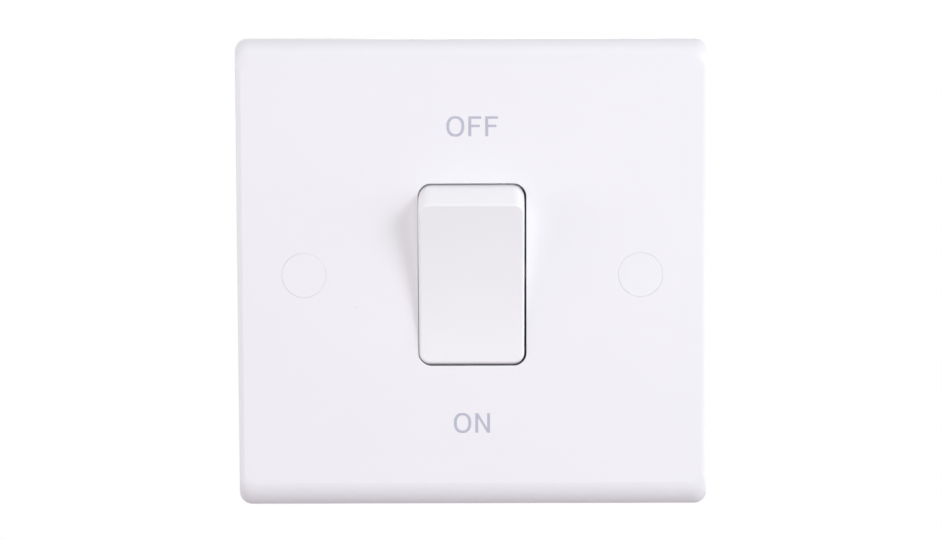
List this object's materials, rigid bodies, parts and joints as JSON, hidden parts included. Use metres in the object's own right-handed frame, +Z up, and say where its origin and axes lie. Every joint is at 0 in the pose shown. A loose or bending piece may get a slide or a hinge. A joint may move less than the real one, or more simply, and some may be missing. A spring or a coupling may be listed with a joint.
{
  "type": "double pole switch",
  "caption": "Flush wall switch that breaks both poles: white moulded plate, rocker, ON and OFF marks, capped fixing screws, and a see-saw contact mechanism and tunnel terminals behind",
  "frame": {"origin": "centre of the rim plane that lies on the wall", "axes": "+X right seen from the front, +Y back into the wall, +Z up as it hangs"},
  "size_m": [0.086, 0.0333, 0.0846],
  "materials": {
    "white_urea": "satin",
    "cap_urea": "satin",
    "rocker_polycarbonate": "satin",
    "housing_nylon": "matte",
    "brass": "satin",
    "copper": "satin",
    "silver": "satin",
    "zinc_steel": "satin",
    "spring_steel": "gloss",
    "acetal": "satin"
  },
  "bodies": {
    "base": {"front_plate": "white_urea", "left_screw_cap": "cap_urea", "right_screw_cap": "cap_urea", "mechanism_housing": "housing_nylon", "housing_screws": "zinc_steel", "earth_terminal": "brass", "left_fixed_contact": "silver", "left_load_strap": "copper", "left_pivot_bracket": "copper", "left_terminal_cover": "housing_nylon", "load_terminal_left": "brass", "supply_terminal_left": "brass", "right_fixed_contact": "silver", "right_load_strap": "copper", "right_pivot_bracket": "copper", "right_terminal_cover": "housing_nylon", "load_terminal_right": "brass", "supply_terminal_right": "brass"},
    "rocker": {"rocker": "rocker_polycarbonate", "left_plunger_spring": "spring_steel", "right_plunger_spring": "spring_steel"},
    "left_plunger": {"left_plunger": "acetal"},
    "left_arm": {"left_contact_arm": "copper", "left_moving_contact": "silver"},
    "load_screw_left": {"load_screw_left": "zinc_steel"},
    "supply_screw_left": {"supply_screw_left": "zinc_steel"},
    "right_plunger": {"right_plunger": "acetal"},
    "right_arm": {"right_contact_arm": "copper", "right_moving_contact": "silver"},
    "load_screw_right": {"load_screw_right": "zinc_steel"},
    "supply_screw_right": {"supply_screw_right": "zinc_steel"},
    "earth_screw": {"earth_terminal_screw": "zinc_steel"}
  },
  "joints": [
    {"name": "rocker_tilt", "type": "hinge", "parent": "base", "child": "rocker", "pos_m": [0, -0.003, 0], "axis": [1, 0, 0], "range_deg": [-19, 0]},
    {"name": "left_plunger_slide", "type": "slide", "parent": "rocker", "child": "left_plunger", "axis": [0, -0.9863, -0.165], "range_m": [0, 0.0012], "stiffness_N_per_m": 400, "springref_m": -0.004, "deforming": ["left_plunger_spring"]},
    {"name": "left_arm_rock", "type": "hinge", "parent": "base", "child": "left_arm", "pos_m": [-0.005, 0.01, 0], "axis": [1, 0, 0], "range_deg": [0, 14]},
    {"name": "load_screw_left_turns_in", "type": "slide", "parent": "base", "child": "load_screw_left", "axis": [0, -1, 0], "range_m": [0, 0.0042]},
    {"name": "supply_screw_left_turns_in", "type": "slide", "parent": "base", "child": "supply_screw_left", "axis": [0, -1, 0], "range_m": [0, 0.0042]},
    {"name": "right_plunger_slide", "type": "slide", "parent": "rocker", "child": "right_plunger", "axis": [0, -0.9863, -0.165], "range_m": [0, 0.0012], "stiffness_N_per_m": 400, "springref_m": -0.004, "deforming": ["right_plunger_spring"]},
    {"name": "right_arm_rock", "type": "hinge", "parent": "base", "child": "right_arm", "pos_m": [0.005, 0.01, 0], "axis": [1, 0, 0], "range_deg": [0, 14]},
    {"name": "load_screw_right_turns_in", "type": "slide", "parent": "base", "child": "load_screw_right", "axis": [0, -1, 0], "range_m": [0, 0.0042]},
    {"name": "supply_screw_right_turns_in", "type": "slide", "parent": "base", "child": "supply_screw_right", "axis": [0, -1, 0], "range_m": [0, 0.0042]},
    {"name": "earth_screw_turns_in", "type": "slide", "parent": "base", "child": "earth_screw", "axis": [0, -1, 0], "range_m": [0, 0.003]}
  ],
  "couplings": [
    {"joint": "left_arm_rock", "follows": "rocker_tilt", "ratio": -0.73684},
    {"joint": "right_arm_rock", "follows": "rocker_tilt", "ratio": -0.73684}
  ]
}
